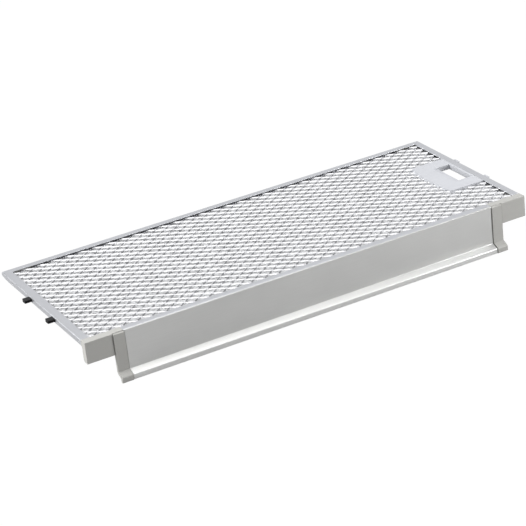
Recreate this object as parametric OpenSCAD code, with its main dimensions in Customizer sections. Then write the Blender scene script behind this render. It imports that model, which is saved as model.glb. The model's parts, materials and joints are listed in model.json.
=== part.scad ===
// Metal grease filter of an under-cabinet cooker hood, with its front trim panel.
// Row frame: +X runs along the length towards the latch, +Y from the trim panel to the
// back, +Z up out of the upper mesh. The origin is the bottom centre of the whole box.
// The modules draw in frame coordinates: x from the outer face of the left rail, y from
// the front face of the trim panel, z from the frame's top plane. placed() shifts them.

/* [Frame] */
// Length of the frame over its end walls
frame_length = 500; // [440:5:600]
// Depth from the trim panel's face to the back of the frame
frame_depth = 203; // [190:1:260]
// Height of the folded rails
frame_height = 6.4; // [6.4:0.1:8]
// Sheet thickness of the rails
rail_sheet = 0.7; // [0.5:0.1:0.7]
// Width of the left rail's flanges
left_flange = 9; // [8:0.5:12]
// Width of the right rail's flanges
right_flange = 8; // [7:0.5:12]
// Width of the front and back rails' flanges
long_flange = 7.4; // [7:0.1:10]

/* [Trim panel] */
// Wall thickness of the aluminium section
panel_wall = 1.6; // [1.2:0.1:2]
// Height of the whole part, from the top plane to the lip's lower edge
trim_drop = 50; // [48:0.2:60]
// Depth below the top plane at which the grip lip starts
lip_start = 41.1; // [38:0.1:43]
// How far the lip reaches forward of the panel's face
lip_reach = 7.1; // [6:0.1:9]
// Slope of the lip's top, in degrees below level
lip_slope = 27; // [20:1:35]
// Outer radius of the bend at the lip's front
lip_nose = 1.2; // [0.8:0.1:2]

/* [End pieces] */
// Length of the block that fills each front corner
block_length = 29.2; // [24:0.2:32]
// Depth of the block from front to back
block_depth = 8; // [7:0.5:9]
// Height of the block
block_drop = 22.6; // [20:0.2:30]
// Width of the bar that covers each end of the panel
bar_width = 11.7; // [10:0.1:14]
// How far the bar stands proud of the panel's face
bar_proud = 1; // [0.8:0.1:1.6]
// Width of the grooves on either side of the bar
groove = 0.8; // [0.6:0.1:1]

/* [Latch] */
// Size of the latch plate along the front-to-back direction
latch_width = 79; // [76:1:90]
// Reach of the latch plate, from the right end of the frame inwards
latch_reach = 51; // [50:0.5:56]
// Length of the finger hole
hole_length = 43; // [36:1:43]
// Width of the finger hole
hole_width = 15; // [13:0.5:16]
// Distance from the finger hole to the right end of the frame
hole_edge = 11; // [11:0.5:13]
// Travel of the latch from locked to released
latch_travel = 4.5; // [4.3:0.1:5]
// How far each nose stands out of the right rail
nose_reach = 4.2; // [3:0.1:4.2]

/* [Pegs] */
// How far each fixed peg stands out of the left rail
peg_reach = 7.3; // [6:0.1:12]
// Distance between the two pegs, and between the two noses
catch_spacing = 56.5; // [56:0.5:57]
// Width of a peg
peg_width = 8.4; // [8:0.1:11]
// Height of a peg
peg_height = 3; // [2.5:0.1:3.4]

/* [Hidden] */

// Small gap between pieces that slip together, and the overlap that keeps cuts clean
slip = 0.1;
cut = 1;
// Segments in each rounded corner of an outline
corner_steps = 6;

mid_y = frame_depth / 2;
rail_top = -rail_sheet;
rail_floor = -frame_height + rail_sheet;
front_rail_y = panel_wall;
front_edge_y = front_rail_y + long_flange;
end_length = block_length + bar_width;
bar_top = 1;

// Arms that plug into the rails: their width, and how far they reach in
arm_width = 3.5;
arm_reach = 16;
key_reach = 31;
barb_radius = 0.9;
barb_front_y = 13.8;
barb_back_y = frame_depth - 27.7;
barb_z = -3.2;
slot_slip = 0.3;

// Height of the fixed pegs' centres
peg_z = -3.1;

// The bevel that trims the lower back corners: its run along the rails and its rise
bevel_run = 12;
bevel_rise = 2.6;

// Stack of mesh and foil inside the rails
mesh_thickness = 1.1;
layer_count = 4;
stack_top = rail_top - slip;
stack_floor = rail_floor + slip;
mesh_top = stack_top - 0.8;
layer_thickness = (mesh_top - stack_floor - 2 * mesh_thickness) / layer_count;
mesh_margin = rail_sheet + slip + arm_width + 0.6;
mesh_front_y = front_rail_y + rail_sheet + slip + arm_width + 0.3;

// Latch housing
latch_left = frame_length - latch_reach;
latch_right = frame_length - rail_sheet - slip;
latch_corner = 2.2;
latch_bow = 2.6;
latch_wall = 1.2;
latch_skin = 1;
latch_gap = 0.6;
hole_right = frame_length - hole_edge;
hole_left = hole_right - hole_width;
cover_top = -slip;
cover_step = rail_top - 0.05;
cover_floor = cover_step - latch_skin;
step_x = frame_length - right_flange - slip;
base_floor = rail_floor + 0.05;
base_top = base_floor + latch_skin;
slide_slip = 0.2;
slide_top = cover_floor - slide_slip;
slide_floor = base_top + slide_slip;
slide_left = hole_left - 11;
pad_top = slide_top + 0.7;
nose_width = 8;
arm_half = nose_width / 2 + 0.6;
catch_half = catch_spacing / 2;
nose_ramp = 1.4;
screw_half = latch_width / 2 - 3.8;
screw_x = [latch_left + 9.5, latch_left + 37];
screw_radius = 0.8;
boss_radius = 2.1;

spring_radius = 1.05;
spring_wire = 0.2;
spring_turns = 7;
spring_left = latch_left + 3.4;
spring_sides = 6;
spring_steps = 12;

// Trim panel: the shelf under the front rail, its rivets and the channel for the tongues
shelf_depth = 8;
shelf_wall = 1.2;
rivet_y = front_rail_y + rail_sheet + 2.1;
rivet_count = 4;
rivet_radius = 1.2;
panel_left = end_length + groove;
tongue_top = 13.6;
tongue_drop = 16.8;
tongue_wall = 1.8;
tongue_reach = 18;

rail_color = [0.76, 0.77, 0.79];
mesh_color = [0.90, 0.90, 0.92];
foil_color = [0.80, 0.81, 0.83];
panel_color = [0.74, 0.74, 0.73];
end_color = [0.66, 0.66, 0.63];
latch_color = [0.88, 0.88, 0.90];
peg_color = [0.05, 0.05, 0.05];
steel_color = [0.60, 0.60, 0.62];

// Moves a shape from frame coordinates to the row frame
module placed() {
    translate([
        -(frame_length + nose_reach - peg_reach) / 2,
        -(frame_depth - lip_reach - bar_proud) / 2,
        trim_drop
    ]) children();
}

// Extrudes a (y, z) outline along +X from x = from to x = to
module along_x(from, to) {
    translate([from, 0, 0]) rotate([90, 0, 90]) linear_extrude(to - from) children();
}

// Extrudes an (x, z) outline along +Y from y = from to y = to
module along_y(from, to) {
    translate([0, to, 0]) rotate([90, 0, 0]) linear_extrude(to - from) children();
}

// Extrudes an (x, y) outline up from z = from to z = to
module along_z(from, to) {
    translate([0, 0, from]) linear_extrude(to - from) children();
}

// Mirrors a shape to the other end of the frame
module other_end() {
    translate([frame_length, 0, 0]) mirror([1, 0, 0]) children();
}

function unit(v) = v / norm(v);

// The arc of the given radius that rounds one corner of an outline
function corner_arc(before, corner, after, radius) =
    let (
        back = unit(before - corner),
        ahead = unit(after - corner),
        half = acos(back * ahead) / 2,
        centre = corner + unit(back + ahead) * radius / sin(half),
        first = corner + back * radius / tan(half) - centre,
        start = atan2(first[1], first[0]),
        turn = (180 - 2 * half) * sign(back[0] * ahead[1] - back[1] * ahead[0])
    )
    [for (i = [0:corner_steps])
        let (a = start - turn * i / corner_steps)
        centre + radius * [cos(a), sin(a)]];

// An outline of [x, y, radius] corners with each corner rounded by its radius
function rounded(corners) =
    let (n = len(corners), at = [for (c = corners) [c[0], c[1]]])
    [for (i = [0:n - 1])
        each corners[i][2] == 0
            ? [at[i]]
            : corner_arc(at[(i + n - 1) % n], at[i], at[(i + 1) % n], corners[i][2])];

// Section of a folded rail: u runs inwards from the outer wall, v is z
module channel_section(flange) {
    bend = 0.9;
    polygon(rounded([
        [0, 0, bend],
        [flange, 0, 0.2],
        [flange, rail_top, 0.2],
        [rail_sheet, rail_top, 0.15],
        [rail_sheet, rail_floor, 0.15],
        [flange, rail_floor, 0.2],
        [flange, -frame_height, 0.2],
        [0, -frame_height, bend]
    ]));
}

// Trims the lower outside of the back left corner on a slant
module corner_bevel() {
    slant = atan(bevel_rise / bevel_run);
    size = 4 * bevel_run;
    translate([0, frame_depth, -frame_height + bevel_rise])
        rotate([0, 0, 135])
        rotate([0, -slant, 0])
        translate([-size, -size, -size])
        cube([2 * size, 2 * size, size]);
}

// Plan of the back rail, mitred at both corners
module back_mitre() {
    polygon([
        [0, frame_depth],
        [left_flange, frame_depth - long_flange],
        [frame_length - right_flange, frame_depth - long_flange],
        [frame_length, frame_depth]
    ]);
}

// A side rail along the left end, from the end piece to the mitred back corner
module side_rail(flange) {
    difference() {
        intersection() {
            along_y(front_edge_y, frame_depth) channel_section(flange);
            along_z(-frame_height - cut, cut) polygon([
                [-cut, front_edge_y],
                [-cut, frame_depth],
                [0, frame_depth],
                [flange, frame_depth - long_flange],
                [flange, front_edge_y]
            ]);
        }
        for (y = [barb_front_y, barb_back_y])
            translate([-cut, y, barb_z])
            rotate([0, 90, 0])
            cylinder(r = barb_radius + slip, h = 2 * cut, $fn = 32);
        corner_bevel();
    }
}

// Slots through the outer wall of a side rail, one for each peg or nose
module catch_slots(width, bottom, top) {
    for (side = [-1, 1])
        translate([-cut, mid_y + side * catch_half - width / 2, bottom])
        cube([cut + rail_sheet + slip, width, top - bottom]);
}

module front_rail() {
    color(rail_color) placed() difference() {
        along_x(end_length, frame_length - end_length)
            translate([front_rail_y, 0])
            channel_section(long_flange);
        rivet_holes();
    }
}

module back_rail() {
    color(rail_color) placed() difference() {
        intersection() {
            along_x(0, frame_length)
                translate([frame_depth, 0])
                mirror([1, 0])
                channel_section(long_flange);
            along_z(-frame_height - cut, cut) back_mitre();
        }
        corner_bevel();
        other_end() corner_bevel();
    }
}

module left_rail() {
    color(rail_color) placed() difference() {
        side_rail(left_flange);
        catch_slots(
            peg_width + slot_slip,
            peg_z - (peg_height + slot_slip) / 2,
            peg_z + (peg_height + slot_slip) / 2
        );
    }
}

module right_rail() {
    color(rail_color) placed() other_end() difference() {
        side_rail(right_flange);
        catch_slots(nose_width + 2 * slot_slip, slide_floor - slot_slip, slide_top + slot_slip);
    }
}

// A plastic key that joins two rails inside a back corner, with a barb in the side rail
module corner_key() {
    near = rail_sheet + slip;
    far_y = frame_depth - near;
    difference() {
        along_z(stack_floor, stack_top) union() {
            translate([near, far_y - key_reach]) square([arm_width, key_reach]);
            translate([near, far_y - arm_width]) square([key_reach, arm_width]);
        }
        corner_bevel();
    }
    barb(barb_back_y);
}

// The nub on a key or tenon that snaps into the hole in the side rail
module barb(y) {
    sunk = 0.35;
    translate([sunk, y, barb_z])
        rotate([0, 90, 0])
        cylinder(r = barb_radius, h = rail_sheet + slip, $fn = 32);
}

module back_left_key() {
    color(end_color) placed() corner_key();
}

module back_right_key() {
    color(end_color) placed() other_end() corner_key();
}

// Plan of the latch housing, drawn inwards by inset
module latch_plan(inset = 0, right = latch_right) {
    half = latch_width / 2;
    chord = half - latch_corner;
    bow_radius = (chord * chord + latch_bow * latch_bow) / (2 * latch_bow);
    radius = bow_radius - inset;
    spread = asin((chord - inset) / radius);
    bow_steps = 24;
    bow = [for (i = [0:bow_steps])
        let (a = spread * (1 - 2 * i / bow_steps))
        [latch_left + bow_radius - radius * cos(a), mid_y + radius * sin(a)]];
    flat_x = bow[0][0] + latch_corner;
    polygon(concat(
        [[right, mid_y + half - inset], [flat_x, mid_y + half - inset]],
        bow,
        [[flat_x, mid_y - half + inset], [right, mid_y - half + inset]]
    ));
}

// Plan of the mesh and foil, cut out round the latch housing
module stack_plan() {
    difference() {
        translate([mesh_margin, mesh_front_y])
            square([frame_length - 2 * mesh_margin, frame_depth - mesh_margin - mesh_front_y]);
        latch_plan(-latch_gap, frame_length);
    }
}

module upper_mesh() {
    color(mesh_color) placed() along_z(mesh_top - mesh_thickness, mesh_top) stack_plan();
}

// The foil layers are counted downwards from the upper mesh
module filter_layer(level) {
    top = mesh_top - mesh_thickness - (level - 1) * layer_thickness;
    color(foil_color) placed() along_z(top - layer_thickness, top) stack_plan();
}

module lower_mesh() {
    color(mesh_color) placed() along_z(stack_floor, stack_floor + mesh_thickness) stack_plan();
}

// The corners of the panel's face drawn back by inset, from its top to the lip's lower edge
function trim_corners(inset, top, top_edge, low_edge) =
    let (
        run = (lip_reach - inset * (1 - sin(lip_slope))) / cos(lip_slope),
        knee_z = -lip_start - inset * (1 - sin(lip_slope)) / cos(lip_slope),
        nose_z = -lip_start - inset * cos(lip_slope) - run * sin(lip_slope)
    )
    [
        [inset, -top, top_edge],
        [inset, knee_z, max(0.6 + inset, 0.2)],
        [inset - lip_reach, nose_z, max(lip_nose - inset, 0.2)],
        [inset - lip_reach, -trim_drop, low_edge]
    ];

function reversed(list) = [for (i = [len(list) - 1:-1:0]) list[i]];

// The sheet between two insets of the panel's face, with its front edges rounded
module trim_sheet(outer, inner, top = 0, edge = 0.3, low_edge = 0.7) {
    polygon(rounded(concat(
        trim_corners(outer, top, edge, low_edge),
        reversed(trim_corners(inner, top, 0.2, 0.2))
    )));
}

// One L-shaped rib of the channel behind the panel: its web lies outside root, its hook
// reaches towards toe, both measured down from the top plane
module channel_rib(root, toe) {
    web_end = root + sign(root - toe) * shelf_wall;
    hook_y = panel_wall + tongue_wall + 2 * slip;
    translate([panel_wall / 2, -max(root, web_end)])
        square([hook_y + shelf_wall - panel_wall / 2, shelf_wall]);
    translate([hook_y, -max(toe, web_end)])
        square([shelf_wall, abs(toe - web_end)]);
}

module rivet_at(i) {
    pitch = (frame_length - 2 * panel_left) / rivet_count;
    translate([panel_left + (i + 0.5) * pitch, rivet_y, 0]) children();
}

module rivet_holes() {
    for (i = [0:rivet_count - 1])
        rivet_at(i)
        translate([0, 0, -frame_height - 2 * shelf_wall])
        cylinder(r = rivet_radius + slip / 2, h = 2 * shelf_wall + 2 * rail_sheet, $fn = 32);
}

module trim_panel() {
    color(panel_color) placed() difference() {
        along_x(panel_left, frame_length - panel_left) union() {
            trim_sheet(0, panel_wall);
            translate([panel_wall / 2, -frame_height - shelf_wall])
                square([shelf_depth - panel_wall / 2, shelf_wall]);
            channel_rib(tongue_top - slip, tongue_top + 3);
            channel_rib(tongue_top + tongue_drop + slip, tongue_top + tongue_drop - 3);
        }
        rivet_holes();
    }
}

// Blind rivets that hold the trim panel's shelf up against the front rail
module trim_rivets() {
    head = 0.9;
    flare = 1;
    color(steel_color) placed() for (i = [0:rivet_count - 1]) rivet_at(i) {
        translate([0, 0, -frame_height - shelf_wall - head])
            cylinder(r = 2 * rivet_radius, h = head, $fn = 32);
        translate([0, 0, -frame_height - shelf_wall - head / 2])
            cylinder(r = rivet_radius, h = shelf_wall + rail_sheet + head, $fn = 32);
        translate([0, 0, rail_floor])
            cylinder(r = 1.3 * rivet_radius, h = flare, $fn = 32);
    }
}

// The slot in the back of the corner slab that takes the edge of the mesh and foil
module stack_recess() {
    translate([mesh_margin - slip, mesh_front_y - slip, rail_floor])
        cube([end_length + cut, front_edge_y, rail_top - rail_floor]);
}

// The moulding at the left end: corner slab, block, bar with lip cap, and its tenons
module end_piece() {
    near = rail_sheet + slip;
    edge = 0.6;
    bar_edge = 0.4;
    cap_back = 2.3;
    pocket_wall = 2;
    pocket = (block_length - 3 * pocket_wall) / 2;
    difference() {
        along_x(0, block_length) polygon(rounded([
            [0, 0, edge],
            [front_edge_y, 0, 0],
            [front_edge_y, -frame_height, 0],
            [block_depth, -frame_height, 0],
            [block_depth, -block_drop, 2.4],
            [0, -block_drop, edge]
        ]));
        translate([block_length - groove, -cut, -trim_drop])
            cube([groove + cut, cut + bar_proud, trim_drop + cut]);
        stack_recess();
        for (i = [0, 1])
            translate([
                pocket_wall + i * (pocket + pocket_wall),
                pocket_wall,
                -block_drop + pocket_wall
            ])
            cube([pocket, block_depth, block_drop - frame_height - 2 * pocket_wall]);
    }
    difference() {
        along_x(block_length - cut, end_length) polygon([
            [front_rail_y, -bar_edge],
            [front_rail_y + bar_edge, 0],
            [front_edge_y, 0],
            [front_edge_y, -frame_height],
            [front_rail_y, -frame_height]
        ]);
        stack_recess();
    }
    along_x(block_length, end_length) trim_sheet(-bar_proud, cap_back, bar_top, bar_edge, 1.2);
    translate([near, front_edge_y - cut, stack_floor])
        cube([arm_width, arm_reach + cut, stack_top - stack_floor]);
    translate([end_length - cut, front_rail_y + near, stack_floor])
        cube([arm_reach + cut, arm_width, stack_top - stack_floor]);
    translate([end_length - 3, panel_wall - cut, -tongue_top - tongue_drop])
        cube([3, cut + slip + tongue_wall, tongue_drop]);
    translate([end_length - cut, panel_wall + slip, -tongue_top - tongue_drop])
        cube([tongue_reach, tongue_wall, tongue_drop]);
    barb(barb_front_y);
}

module left_end_piece() {
    color(end_color) placed() end_piece();
}

module right_end_piece() {
    color(end_color) placed() other_end() end_piece();
}

// Black bar inside the left rail with the two fixed pegs
module peg_bar() {
    inner = rail_sheet + slip;
    peg_edge = 0.8;
    bar_end = 12;
    color(peg_color) placed() {
        translate([inner, mid_y - catch_half - bar_end, stack_floor])
            cube([arm_width, catch_spacing + 2 * bar_end, stack_top - stack_floor]);
        for (side = [-1, 1])
            translate([0, mid_y + side * catch_half, 0])
            intersection() {
                along_x(-peg_reach, inner + cut) polygon(rounded([
                    [-peg_width / 2, peg_z + peg_height / 2, peg_edge],
                    [peg_width / 2, peg_z + peg_height / 2, peg_edge],
                    [peg_width / 2, peg_z - peg_height / 2, peg_edge],
                    [-peg_width / 2, peg_z - peg_height / 2, peg_edge]
                ]));
                along_z(-frame_height, 0) polygon(rounded([
                    [-peg_reach, -peg_width / 2, 1.8],
                    [-peg_reach, peg_width / 2, 1.8],
                    [inner + cut, peg_width / 2, 0],
                    [inner + cut, -peg_width / 2, 0]
                ]));
            }
    }
}

// The window of the latch housing: the finger hole and the pad's travel beside it
module latch_window(bottom, top, grow = 0) {
    translate([hole_left - latch_travel - grow, mid_y - hole_length / 2 - grow, bottom])
        cube([hole_width + latch_travel + 2 * grow, hole_length + 2 * grow, top - bottom]);
}

// The raised middle of the finger pad, or the pocket it slides in when travel is added
module pad_rise(top, side_gap, travel = 0) {
    half = hole_length / 2 - side_gap;
    translate([slide_left - travel, mid_y - half, slide_top - slip])
        cube([hole_left - slide_left + travel, 2 * half, top - slide_top + slip]);
}

module at_screws() {
    for (x = screw_x, side = [-1, 1]) translate([x, mid_y + side * screw_half, 0]) children();
}

module latch_cover() {
    color(latch_color) placed() difference() {
        union() {
            along_z(cover_floor, cover_step) latch_plan();
            along_z(cover_floor, cover_top) latch_plan(0, step_x);
            difference() {
                along_z(base_top, cover_floor + slip) latch_plan();
                along_z(base_top - cut, cover_floor) latch_plan(latch_wall, frame_length);
            }
            difference() {
                latch_window(base_top, cover_step, latch_wall);
                translate([latch_left, 0, slide_floor - slide_slip - cut])
                    cube([hole_left - latch_left, frame_depth, cover_floor - base_top + cut]);
            }
            at_screws() translate([0, 0, base_top])
                cylinder(r = boss_radius, h = cover_floor - base_top + slip, $fn = 32);
        }
        latch_window(base_top - cut, cover_top + cut);
        pad_rise(pad_top + slide_slip, 0, latch_travel + 2 * slide_slip);
        at_screws() translate([0, 0, base_top - cut])
            cylinder(r = screw_radius + slip / 2, h = cut + 2.4, $fn = 32);
    }
}

module latch_base() {
    color(latch_color) placed() difference() {
        along_z(base_floor, base_top) latch_plan();
        latch_window(base_floor - cut, base_top + cut);
        at_screws() translate([0, 0, base_floor - cut])
            cylinder(r = 1.1, h = latch_skin + 2 * cut, $fn = 32);
    }
}

// The sliding part: the finger pad across the left of the hole, two arms and two noses
module latch_slide() {
    shoulder = frame_length - rail_sheet - 0.2;
    color(latch_color) placed() pad_rise(pad_top, slide_slip);
    color(latch_color) placed() difference() {
        along_z(slide_floor, slide_top) union() {
            translate([slide_left, mid_y - catch_half - arm_half])
                square([hole_left - slide_left, catch_spacing + 2 * arm_half]);
            for (side = [-1, 1]) {
                translate([slide_left, mid_y + side * catch_half - arm_half])
                    square([shoulder - slide_left, 2 * arm_half]);
                translate([slide_left, mid_y + side * catch_half - nose_width / 2])
                    square([frame_length + nose_reach - slide_left, nose_width]);
            }
        }
        along_y(0, frame_depth) polygon([
            [frame_length + nose_reach - 2 * nose_ramp, slide_floor],
            [frame_length + nose_reach, slide_floor + nose_ramp],
            [frame_length + nose_reach + cut, slide_floor + nose_ramp],
            [frame_length + nose_reach + cut, slide_floor - cut],
            [frame_length + nose_reach - 2 * nose_ramp, slide_floor - cut]
        ]);
    }
}

// A compression spring along X, swept round a helix with flat capped ends
module coil_spring(from, to) {
    rings = spring_turns * spring_steps;
    mid_z = (cover_floor + base_top) / 2;
    points = [for (i = [0:rings], j = [0:spring_sides - 1])
        let (
            turn = 360 * i / spring_steps,
            side = 360 * j / spring_sides,
            radius = spring_radius + spring_wire * cos(side)
        )
        [
            from + spring_wire + (to - from - 2 * spring_wire) * i / rings
                + spring_wire * sin(side),
            radius * cos(turn),
            mid_z + radius * sin(turn)
        ]];
    walls = [for (i = [0:rings - 1], j = [0:spring_sides - 1])
        let (k = (j + 1) % spring_sides, a = i * spring_sides, b = a + spring_sides)
        [a + j, a + k, b + k, b + j]];
    first = [for (j = [spring_sides - 1:-1:0]) j];
    last = [for (j = [0:spring_sides - 1]) rings * spring_sides + j];
    polyhedron(points, concat(walls, [first, last]), convexity = 10);
}

module latch_spring_front() {
    color(steel_color) placed()
        translate([0, mid_y - catch_half, 0])
        coil_spring(spring_left, slide_left);
}

module latch_spring_back() {
    color(steel_color) placed()
        translate([0, mid_y + catch_half, 0])
        coil_spring(spring_left, slide_left);
}

// Self-tapping screws from below, through the base into the cover's bosses
module latch_screws() {
    head = 0.6;
    color(steel_color) placed() at_screws() {
        translate([0, 0, base_floor - head]) cylinder(r = 1.9, h = head, $fn = 32);
        translate([0, 0, base_floor - head / 2])
            cylinder(r = screw_radius, h = head / 2 + latch_skin + 2.2, $fn = 32);
    }
}

front_rail();
back_rail();
left_rail();
right_rail();
back_left_key();
back_right_key();
upper_mesh();
filter_layer(1);  // filter_layer_1
filter_layer(2);  // filter_layer_2
filter_layer(3);  // filter_layer_3
filter_layer(4);  // filter_layer_4
lower_mesh();
trim_panel();
left_end_piece();
right_end_piece();
trim_rivets();
peg_bar();
latch_cover();
latch_base();
latch_slide();
latch_spring_front();
latch_spring_back();
latch_screws();
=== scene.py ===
"""Looks for the grease filter: materials for every CAD node, expanded mesh, springs and a studio."""

import json
import math
from collections import namedtuple

import bpy
from mathutils import Matrix, Vector


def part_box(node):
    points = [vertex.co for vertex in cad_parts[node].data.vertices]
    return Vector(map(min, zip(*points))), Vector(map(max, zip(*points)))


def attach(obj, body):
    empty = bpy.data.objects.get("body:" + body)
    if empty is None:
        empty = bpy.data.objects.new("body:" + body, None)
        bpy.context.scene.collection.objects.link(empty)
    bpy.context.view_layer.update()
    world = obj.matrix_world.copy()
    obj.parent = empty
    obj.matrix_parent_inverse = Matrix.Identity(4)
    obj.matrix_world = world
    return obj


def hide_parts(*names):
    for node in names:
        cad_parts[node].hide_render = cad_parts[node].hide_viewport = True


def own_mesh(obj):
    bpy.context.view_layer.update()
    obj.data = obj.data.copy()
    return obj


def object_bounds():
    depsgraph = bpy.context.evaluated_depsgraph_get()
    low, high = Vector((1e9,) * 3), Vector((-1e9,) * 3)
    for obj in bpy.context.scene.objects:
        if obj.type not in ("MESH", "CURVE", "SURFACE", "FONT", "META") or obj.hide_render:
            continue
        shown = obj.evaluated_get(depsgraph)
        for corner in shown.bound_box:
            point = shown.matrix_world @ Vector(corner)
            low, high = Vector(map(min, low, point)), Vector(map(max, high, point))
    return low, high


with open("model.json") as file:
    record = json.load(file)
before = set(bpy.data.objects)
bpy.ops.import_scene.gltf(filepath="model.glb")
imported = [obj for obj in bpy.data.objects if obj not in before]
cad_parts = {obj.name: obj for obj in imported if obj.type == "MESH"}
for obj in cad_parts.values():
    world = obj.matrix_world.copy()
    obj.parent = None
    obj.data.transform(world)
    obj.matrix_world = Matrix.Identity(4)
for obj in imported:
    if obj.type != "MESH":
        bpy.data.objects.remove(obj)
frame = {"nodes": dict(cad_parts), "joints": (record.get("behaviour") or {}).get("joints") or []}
cad_low, cad_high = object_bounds()

MM = 0.001
NODES = frame["nodes"]

# The body that all replaced nodes belong to
BODY = "cassette"


# ---------------------------------------------------------------- node helpers
class Tree:
    """A material's node tree, with one method for each kind of node that is used."""

    def __init__(self, name):
        self.material = bpy.data.materials.new(name)
        self.material.use_nodes = True
        self.nodes = self.material.node_tree.nodes
        self.links = self.material.node_tree.links
        self.nodes.clear()
        self.output = self.nodes.new("ShaderNodeOutputMaterial")
        self.shader = self.nodes.new("ShaderNodeBsdfPrincipled")
        self.links.new(self.shader.outputs["BSDF"], self.output.inputs["Surface"])

    def feed(self, socket, value):
        """Links a socket to an output, or sets it to a plain value."""
        if isinstance(value, bpy.types.NodeSocket):
            self.links.new(value, socket)
        else:
            socket.default_value = value

    def set(self, **values):
        """Sets the shader's inputs: base_color=..., roughness=... and so on."""
        for key, value in values.items():
            name = "IOR" if key == "ior" else key.replace("_", " ").title()
            self.feed(self.shader.inputs[name], value)

    def noise(self, scale, stretch=(1.0, 1.0, 1.0), detail=3.0, roughness=0.55):
        """Noise of the given scale per metre, stretched along the row frame's axes."""
        place = self.nodes.new("ShaderNodeTexCoord")
        mapping = self.nodes.new("ShaderNodeMapping")
        mapping.inputs["Scale"].default_value = stretch
        texture = self.nodes.new("ShaderNodeTexNoise")
        texture.inputs["Scale"].default_value = scale
        texture.inputs["Detail"].default_value = detail
        texture.inputs["Roughness"].default_value = roughness
        self.links.new(place.outputs["Object"], mapping.inputs["Vector"])
        self.links.new(mapping.outputs["Vector"], texture.inputs["Vector"])
        return texture.outputs["Fac"]

    def height(self):
        """The height of the surface point in the row frame, in metres."""
        place = self.nodes.new("ShaderNodeTexCoord")
        split = self.nodes.new("ShaderNodeSeparateXYZ")
        self.links.new(place.outputs["Object"], split.inputs["Vector"])
        return split.outputs["Z"]

    def remap(self, value, span, result):
        """Maps one span of a value, (low, high), to the result's span, and clamps it."""
        node = self.nodes.new("ShaderNodeMapRange")
        self.feed(node.inputs["Value"], value)
        names = ("From Min", "From Max", "To Min", "To Max")
        for name, number in zip(names, (*span, *result)):
            node.inputs[name].default_value = number
        return node.outputs["Result"]

    def blend(self, fac, first, second):
        """Mixes two colours."""
        node = self.nodes.new("ShaderNodeMix")
        node.data_type = "RGBA"
        self.feed(node.inputs["Factor"], fac)
        self.feed(node.inputs["A"], first)
        self.feed(node.inputs["B"], second)
        return node.outputs["Result"]

    def mottle(self, pattern, span, amount, first, second):
        """Mixes up to amount of the second colour into the first as a pattern crosses a span."""
        return self.blend(self.remap(pattern, span, (0.0, amount)), first, second)

    def edge(self, radius):
        """A mask that rises from 0 on flat faces to 1 on sharp edges, and the rounded normal.

        The rounded normal is the plain one on a flat face and turns away from it at an edge."""
        bevel = self.nodes.new("ShaderNodeBevel")
        bevel.samples = 4
        bevel.inputs["Radius"].default_value = radius
        plain = self.nodes.new("ShaderNodeNewGeometry")
        dot = self.nodes.new("ShaderNodeVectorMath")
        dot.operation = "DOT_PRODUCT"
        self.links.new(bevel.outputs["Normal"], dot.inputs[0])
        self.links.new(plain.outputs["Normal"], dot.inputs[1])
        sharp, flat = 0.72, 0.97
        return self.remap(dot.outputs["Value"], (sharp, flat), (1.0, 0.0)), bevel.outputs["Normal"]

    def bump(self, height, depth, strength, normal=None):
        """Feeds a bump of the given depth in metres into the shader's normal."""
        node = self.nodes.new("ShaderNodeBump")
        node.inputs["Strength"].default_value = strength
        node.inputs["Distance"].default_value = depth
        self.links.new(height, node.inputs["Height"])
        if normal is not None:
            self.links.new(normal, node.inputs["Normal"])
        self.links.new(node.outputs["Normal"], self.shader.inputs["Normal"])


def shade(colour, factor):
    """An RGBA colour scaled in brightness."""
    return (*[min(1.0, channel * factor) for channel in colour[:3]], 1.0)


# ---------------------------------------------------------------- kinds of material
def brushed_metal(name, colour, roughness, grain, painted_light_below=None):
    """Satin aluminium or zinc: brush lines along the grain, cloudy tone, and edges painted 1.25
    times brighter, partly as wear and partly as a painted highlight.

    The optional (low, high, factor) is painted light low down on the part: below the height low the
    tone is painted factor times brighter."""
    tree = Tree(name)
    lines = tree.noise(scale=2600.0, stretch=grain, roughness=0.6)
    clouds = tree.noise(scale=14.0, detail=2.0)
    tone = tree.mottle(lines, (0.3, 0.7), 1.0, shade(colour, 0.97), shade(colour, 1.03))
    tone = tree.mottle(clouds, (0.35, 0.65), 0.35, tone, shade(colour, 0.9))
    # Painted light: below a height the tone is painted brighter.
    if painted_light_below:
        low, high, factor = painted_light_below
        bright = tree.remap(tree.height(), (low, high), (1.0, 0.0))
        tone = tree.blend(bright, tone, shade(colour, factor))
    # Edges are painted brighter: partly wear, partly a painted highlight along the rounded edge.
    edge_wear_and_highlight, normal = tree.edge(radius=0.25 * MM)
    tree.set(
        base_color=tree.blend(edge_wear_and_highlight, tone, shade(colour, 1.25)),
        metallic=1.0,
        roughness=tree.remap(lines, (0.25, 0.75), (roughness - 0.05, roughness + 0.07)),
    )
    tree.bump(lines, depth=0.008 * MM, strength=0.35, normal=normal)
    return tree.material


def moulded_plastic(name, colour, roughness, grain_depth=0.015 * MM, edge_highlight=1.12, ior=1.5):
    """Injection-moulded plastic: fine spark-eroded grain, faint flow marks and edges painted lighter
    as a highlight.
    """
    tree = Tree(name)
    grain = tree.noise(scale=2600.0, detail=2.0)
    flow = tree.noise(scale=35.0, stretch=(0.35, 1.0, 1.0))
    tone = tree.mottle(flow, (0.35, 0.65), 1.0, shade(colour, 0.96), shade(colour, 1.03))
    tone = tree.mottle(grain, (0.4, 0.62), 0.35, tone, shade(colour, 0.94))
    # Painted highlight: sharp edges get a lighter tone, by the edge factor.
    edge_wear_and_highlight, normal = tree.edge(radius=0.35 * MM)
    tree.set(
        base_color=tree.blend(edge_wear_and_highlight, tone, shade(colour, edge_highlight)),
        metallic=0.0,
        roughness=tree.remap(grain, (0.3, 0.7), (roughness - 0.06, roughness + 0.08)),
        ior=ior,
    )
    tree.bump(grain, depth=grain_depth, strength=0.5, normal=normal)
    return tree.material


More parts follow.
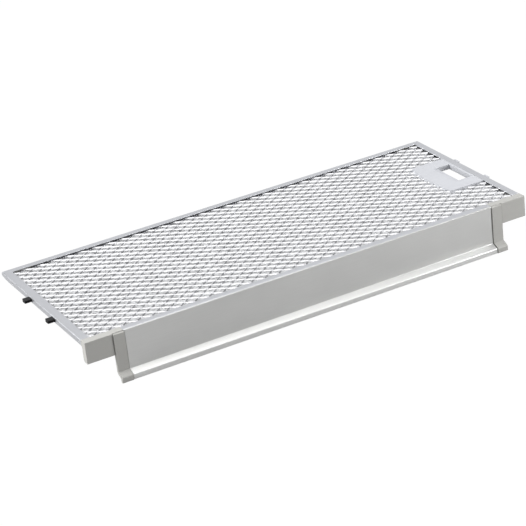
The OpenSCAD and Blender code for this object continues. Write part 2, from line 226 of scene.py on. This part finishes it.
def rolled_foil(name, colour, roughness):
    """Bright expanded aluminium: rolling lines, small tone changes and a trace of haze."""
    tree = Tree(name)
    lines = tree.noise(scale=1500.0, stretch=(1.0, 0.12, 1.0), detail=2.0)
    patches = tree.noise(scale=60.0)
    tone = tree.mottle(patches, (0.35, 0.65), 1.0, shade(colour, 0.94), shade(colour, 1.04))
    tone = tree.mottle(lines, (0.3, 0.7), 0.25, tone, shade(colour, 0.85))
    tree.set(
        base_color=tone,
        metallic=1.0,
        roughness=tree.remap(patches, (0.3, 0.7), (roughness - 0.06, roughness + 0.08)),
    )
    tree.bump(lines, depth=0.01 * MM, strength=0.3)
    return tree.material


# ---------------------------------------------------------------- shapes
# How a sheet is expanded: its cell along X and Y, and its strands' width, thickness and tilt
Weave = namedtuple("Weave", "cell width thickness tilt")

# The sheet is rolled after it is stretched, which leaves this share of the strands' rise
FLATTENING = 0.5

# Two strands stay joined along this share of the half cell, on each side of a turn
BOND_SHARE = 0.14

# A spring's wire has this many sides, and each of its turns this many rings
WIRE_SIDES = 10
TURN_RINGS = 28

# The middle of a spring climbs this much faster than an even coil, and its ends lie flat
CLIMB = 1.3


def new_piece(name, points, faces, material, node, smooth=False):
    """A piece from points and faces that stands for a CAD node and rides with its body."""
    mesh = bpy.data.meshes.new(name)
    mesh.from_pydata([tuple(p) for p in points], [], [tuple(f) for f in faces])
    mesh.validate()
    mesh.update()
    if smooth:
        mesh.shade_smooth()
    piece = bpy.data.objects.new(name, mesh)
    bpy.context.scene.collection.objects.link(piece)
    mesh.materials.append(material)
    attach(piece, BODY)
    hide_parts(node)
    return piece


def strand_lines(low, high, weave, middle, phase):
    """Centre lines of the zigzag strands of expanded metal between two corners.

    Each strand swings between two rows of bonds. It is bonded to its neighbours where it
    turns, so the tilted strips join edge to edge and the strand rises and falls. An odd
    phase moves the weave by half a cell along X."""
    half_cell = weave.cell[0] / 2
    half_row = weave.cell[1] / 2
    swing = (half_row - weave.width * math.cos(weave.tilt)) / 2
    lift = FLATTENING * weave.width * math.sin(weave.tilt) / 2
    bond = BOND_SHARE * half_cell
    steps = int((high.x - low.x) / half_cell)
    rows = int((high.y - low.y - weave.width) / half_row)
    first_x = (low.x + high.x - steps * half_cell) / 2
    first_y = (low.y + high.y - rows * half_row) / 2 + half_row / 2
    for row in range(rows):
        line = []
        for step in range(steps + 1):
            side = 1 if (step + row + phase) % 2 else -1
            x = first_x + step * half_cell
            y = first_y + row * half_row + side * swing
            z = middle - side * lift
            for shift in (-bond, bond):
                line.append((min(max(x + shift, low.x), high.x), y, z))
        yield line


def free_stretches(start, end, hole):
    """The parts of a line outside a box in plan, as pairs of shares of the line's length."""
    enter, leave = 0.0, 1.0
    for axis, (low, high) in enumerate(hole):
        run = end[axis] - start[axis]
        if run == 0:
            if not low < start[axis] < high:
                return [(0.0, 1.0)]
            continue
        near, far = sorted(((low - start[axis]) / run, (high - start[axis]) / run))
        enter, leave = max(enter, near), min(leave, far)
    if enter >= leave:
        return [(0.0, 1.0)]
    return [(first, last) for first, last in ((0.0, enter), (leave, 1.0)) if last > first]


def free_runs(line, hole):
    """The runs of points along a line that are left when a box in plan is cut out of it.

    Two points that the sheet's end has pushed together count as one."""
    run = []
    for start, end in zip(line, line[1:]):
        if end[0] <= start[0]:
            continue
        stretches = free_stretches(start, end, hole)
        for first, last in stretches:
            if not run:
                run = [Vector(start).lerp(Vector(end), first)]
            run.append(Vector(start).lerp(Vector(end), last))
            if last < 1.0:
                yield run
                run = []
        if not stretches and run:
            yield run
            run = []
    if run:
        yield run


def tube_faces(base, steps, sides):
    """Faces of a closed tube through steps + 1 rings of points, of which base is the first."""
    last = base + steps * sides
    faces = []
    for a in range(base, last, sides):
        b = a + sides
        faces.extend(
            (a + j, a + (j + 1) % sides, b + (j + 1) % sides, b + j) for j in range(sides)
        )
    faces.append(tuple(range(base + sides - 1, base - 1, -1)))
    faces.append(tuple(range(last, last + sides)))
    return faces


def expanded_metal(low, high, weave, middle, hole, phase):
    """Points and faces of expanded metal between two corners, with its middle at a height.

    hole is a box in plan that stays free."""
    across = Vector((0, math.cos(weave.tilt), math.sin(weave.tilt))) * weave.width / 2
    through = Vector((0, -math.sin(weave.tilt), math.cos(weave.tilt))) * weave.thickness / 2
    corners = (across + through, across - through, -across - through, -across + through)
    points, faces = [], []
    for line in strand_lines(low, high, weave, middle, phase):
        for run in free_runs(line, hole):
            faces.extend(tube_faces(len(points), len(run) - 1, len(corners)))
            for centre in run:
                points.extend(centre + corner for corner in corners)
    return points, faces


def coil(low, high, wire, turns):
    """Points and faces of a helical spring that fills a box along X. wire is its radius."""
    radius = (high.z - low.z) / 2 - wire
    middle = (low + high) / 2
    length = high.x - low.x - 2 * wire
    rings = turns * TURN_RINGS
    points = []
    for i in range(rings + 1):
        share = i / rings
        along = min(max((share - 0.5) * CLIMB + 0.5, 0.0), 1.0)
        turn = 2 * math.pi * i / TURN_RINGS
        for j in range(WIRE_SIDES):
            angle = 2 * math.pi * j / WIRE_SIDES
            out = radius + wire * math.cos(angle)
            points.append((
                low.x + wire + length * along + wire * math.sin(angle),
                middle.y + out * math.cos(turn),
                middle.z + out * math.sin(turn),
            ))
    return points, tube_faces(0, rings, WIRE_SIDES)


# ---------------------------------------------------------------- materials
# Stretches of the brush lines' noise: along X, along Y, or the same both ways
ALONG_X = (0.02, 1.0, 1.0)
ALONG_Y = (1.0, 0.02, 1.0)
EVEN = (1.0, 1.0, 1.0)

RAIL_GREY = (0.77, 0.78, 0.81)
PANEL_GREY = (0.81, 0.81, 0.795)

# Painted light on the grip lip: the tone is painted brighter below the first height, and not at all
# above the second
panel_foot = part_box("trim_panel")[0].z
PAINTED_LIP_LIGHT = (panel_foot + 4.5 * MM, panel_foot + 6.0 * MM, 1.22)

rail_long = brushed_metal("rail_aluminium_long", RAIL_GREY, 0.38, ALONG_X)
rail_side = brushed_metal("rail_aluminium_side", RAIL_GREY, 0.38, ALONG_Y)
panel_metal = brushed_metal("panel_aluminium", PANEL_GREY, 0.42, ALONG_X, PAINTED_LIP_LIGHT)
end_plastic = moulded_plastic("grey_plastic", (0.46, 0.455, 0.432), 0.38)
latch_plastic = moulded_plastic("latch_plastic", (0.56, 0.57, 0.60), 0.42)
# The black pegs get a painted highlight on their edges, 1.4 times their tone.
peg_plastic = moulded_plastic(
    "black_plastic", (0.004, 0.004, 0.005), 0.25, grain_depth=0.01 * MM, edge_highlight=1.4, ior=1.3
)
strand_metal = rolled_foil("mesh_aluminium", (0.74, 0.74, 0.755), 0.27)
foil_metal = rolled_foil("foil_aluminium", (0.74, 0.745, 0.75), 0.5)
zinc = brushed_metal("zinc_steel", (0.55, 0.55, 0.57), 0.3, EVEN)

NODE_MATERIALS = {
    "front_rail": rail_long,
    "back_rail": rail_long,
    "left_rail": rail_side,
    "right_rail": rail_side,
    "back_left_key": end_plastic,
    "back_right_key": end_plastic,
    "trim_panel": panel_metal,
    "left_end_piece": end_plastic,
    "right_end_piece": end_plastic,
    "trim_rivets": zinc,
    "peg_bar": peg_plastic,
    "latch_cover": latch_plastic,
    "latch_base": latch_plastic,
    "latch_slide": latch_plastic,
    "latch_screws": zinc,
}
for node, material in NODE_MATERIALS.items():
    NODES[node].data.materials.clear()
    NODES[node].data.materials.append(material)


# ---------------------------------------------------------------- mesh and foil layers
MESH = Weave(
    cell=(15.45 * MM, 11.15 * MM), width=1.5 * MM, thickness=0.4 * MM, tilt=math.radians(42)
)
LOWER_MESH = MESH._replace(tilt=-MESH.tilt)
FOIL = Weave(
    cell=(10.2 * MM, 6.2 * MM), width=1.7 * MM, thickness=0.14 * MM, tilt=math.radians(10)
)
CROSSED_FOIL = FOIL._replace(tilt=-FOIL.tilt)
FOIL_LAYERS = 4

# Depth of the middle of each mesh inside the rails: from their top, and from their underside
UPPER_SINK = 2.3 * MM
LOWER_SINK = 1.7 * MM

# The strands run this far into the box of the latch housing, so that they end inside it,
# also at its bowed side and its cut corners, but stop short of the springs. On the right
# the cut-out is open: it runs past the end of the mesh, inside the rail.
CLAMPED = 3.3 * MM
cover_low, cover_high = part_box("latch_cover")
HOUSING = (
    (cover_low.x + CLAMPED, cover_high.x + CLAMPED),
    (cover_low.y + CLAMPED, cover_high.y - CLAMPED),
)


def expanded_piece(node, material, weave, middle, phase=0):
    """Replaces a CAD sheet with expanded metal of the same outline."""
    low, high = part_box(node)
    points, faces = expanded_metal(low, high, weave, middle, HOUSING, phase)
    new_piece(node + "_strands", points, faces, material, node)


rails_low, rails_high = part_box("back_rail")
expanded_piece("upper_mesh", strand_metal, MESH, rails_high.z - UPPER_SINK)
expanded_piece("lower_mesh", strand_metal, LOWER_MESH, rails_low.z + LOWER_SINK)
for level in range(1, FOIL_LAYERS + 1):
    layer = f"filter_layer_{level}"
    layer_low, layer_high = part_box(layer)
    weave = FOIL if level % 2 else CROSSED_FOIL
    expanded_piece(layer, foil_metal, weave, (layer_low.z + layer_high.z) / 2, level)


# ---------------------------------------------------------------- springs
# Radius of the springs' wire
SPRING_WIRE = 0.2 * MM
SPRING_TURNS = 7

pull = next(joint for joint in frame["joints"] if joint["name"] == "latch_pull")
travel = max(pull["range_m"])
for node in ("latch_spring_front", "latch_spring_back"):
    low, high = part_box(node)
    points, faces = coil(low, high, SPRING_WIRE, SPRING_TURNS)
    spring = new_piece(node + "_coil", points, faces, zinc, node, smooth=True)
    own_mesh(spring)


# ---------------------------------------------------------------- studio
WHITE = (1.0, 1.0, 1.0)
FILL = (0.31, 0.314, 0.322)

# To the camera the floor is mostly a white glow, and this grey tone is all the object sees
FLOOR_TONE = 0.36
FLOOR_GLOW = 1.05
GLOW_SHARE = 0.94
FLOOR_REACH = 12.0
FLOOR_GAP = 0.2 * MM

# Each softbox: its place, what it faces, its width and height, and its power in watts
SOFTBOXES = {
    "overhead": ((-0.85, -0.2, 1.7), (-0.85, -0.2, 0), (2.2, 1.8), 18.5),
    "overhead_front": ((0.4, 0.15, 1.7), (0.4, 0.15, 0), (0.7, 0.7), 6.5),
    "overhead_right": ((0.95, -0.85, 1.7), (0.95, -0.85, 0), (1.2, 0.9), 3.2),
    "back_panel": ((1.0, 2.1, 1.1), (0, 0, 0), (3.0, 1.8), 7),
    "left_side": ((-1.7, 0.55, 0.75), (0, 0, 0.03), (1.2, 1.0), 36),
    "front_right": ((0.8, -0.65, 0.3), (0.25, -0.1, 0.03), (0.4, 0.4), 4.8),
}


def stage_floor():
    """A pale floor that shows nearly white to the camera, with only a trace of shadow."""
    tree = Tree("floor_white")
    tree.set(base_color=(FLOOR_TONE, FLOOR_TONE, FLOOR_TONE, 1.0), roughness=0.9)
    glow = tree.nodes.new("ShaderNodeEmission")
    glow.inputs["Color"].default_value = (*WHITE, 1.0)
    glow.inputs["Strength"].default_value = FLOOR_GLOW
    path = tree.nodes.new("ShaderNodeLightPath")
    mix = tree.nodes.new("ShaderNodeMixShader")
    share = tree.remap(path.outputs["Is Camera Ray"], (0.0, 1.0), (0.0, GLOW_SHARE))
    tree.links.new(share, mix.inputs["Fac"])
    tree.links.new(tree.shader.outputs["BSDF"], mix.inputs[1])
    tree.links.new(glow.outputs["Emission"], mix.inputs[2])
    tree.links.new(mix.outputs["Shader"], tree.output.inputs["Surface"])
    mesh = bpy.data.meshes.new("floor")
    signs = ((-1, -1), (1, -1), (1, 1), (-1, 1))
    mesh.from_pydata([(x * FLOOR_REACH, y * FLOOR_REACH, 0) for x, y in signs], [], [(0, 1, 2, 3)])
    mesh.materials.append(tree.material)
    floor = bpy.data.objects.new("floor", mesh)
    floor.location.z = cad_low.z - FLOOR_GAP
    bpy.context.scene.collection.objects.link(floor)


def softbox(name, place, target, size, power):
    """A white rectangular light that faces its target."""
    data = bpy.data.lights.new(name, "AREA")
    data.shape = "RECTANGLE"
    data.size, data.size_y = size
    data.energy = power
    light = bpy.data.objects.new(name, data)
    light.location = place
    light.rotation_euler = (Vector(target) - Vector(place)).to_track_quat("-Z", "Y").to_euler()
    bpy.context.scene.collection.objects.link(light)


def studio_world():
    """White to the camera, and an even grey fill for the surfaces."""
    world = bpy.data.worlds.new("studio")
    world.use_nodes = True
    nodes, links = world.node_tree.nodes, world.node_tree.links
    nodes.clear()
    output = nodes.new("ShaderNodeOutputWorld")
    mix = nodes.new("ShaderNodeMixShader")
    path = nodes.new("ShaderNodeLightPath")
    for i, level in ((1, FILL), (2, WHITE)):
        background = nodes.new("ShaderNodeBackground")
        background.inputs["Color"].default_value = (*level, 1.0)
        links.new(background.outputs["Background"], mix.inputs[i])
    links.new(path.outputs["Is Camera Ray"], mix.inputs["Fac"])
    links.new(mix.outputs["Shader"], output.inputs["Surface"])
    bpy.context.scene.world = world


def place_camera(azimuth, elevation, roll, distance, offset, lens):
    """A camera that looks at the object's middle, moved by offset, rolled about its own axis.

    Angles are in degrees, distances in metres and the lens in millimetres."""
    a, e = math.radians(azimuth), math.radians(elevation)
    back = Vector((math.sin(a) * math.cos(e), -math.cos(a) * math.cos(e), math.sin(e)))
    rolled = Matrix.Rotation(math.radians(roll), 3, "Z")
    turn = (-back).to_track_quat("-Z", "Y").to_matrix() @ rolled
    target = (cad_low + cad_high) / 2 + Vector(offset)
    data = bpy.data.cameras.new("camera")
    data.lens = lens
    data.sensor_width = 36.0
    data.clip_start, data.clip_end = 0.1, 60.0
    camera = bpy.data.objects.new("camera", data)
    camera.matrix_world = Matrix.Translation(target + back * distance) @ turn.to_4x4()
    bpy.context.scene.collection.objects.link(camera)
    bpy.context.scene.camera = camera


stage_floor()
studio_world()
for name, (place, target, size, power) in SOFTBOXES.items():
    softbox(name, place, target, size, power)
place_camera(
    azimuth=-26.2, elevation=25.0, roll=-6.59, distance=2.154,
    offset=(-0.0062, 0.0006, -0.0047), lens=144.2
)
bpy.context.scene.view_settings.view_transform = "Standard"
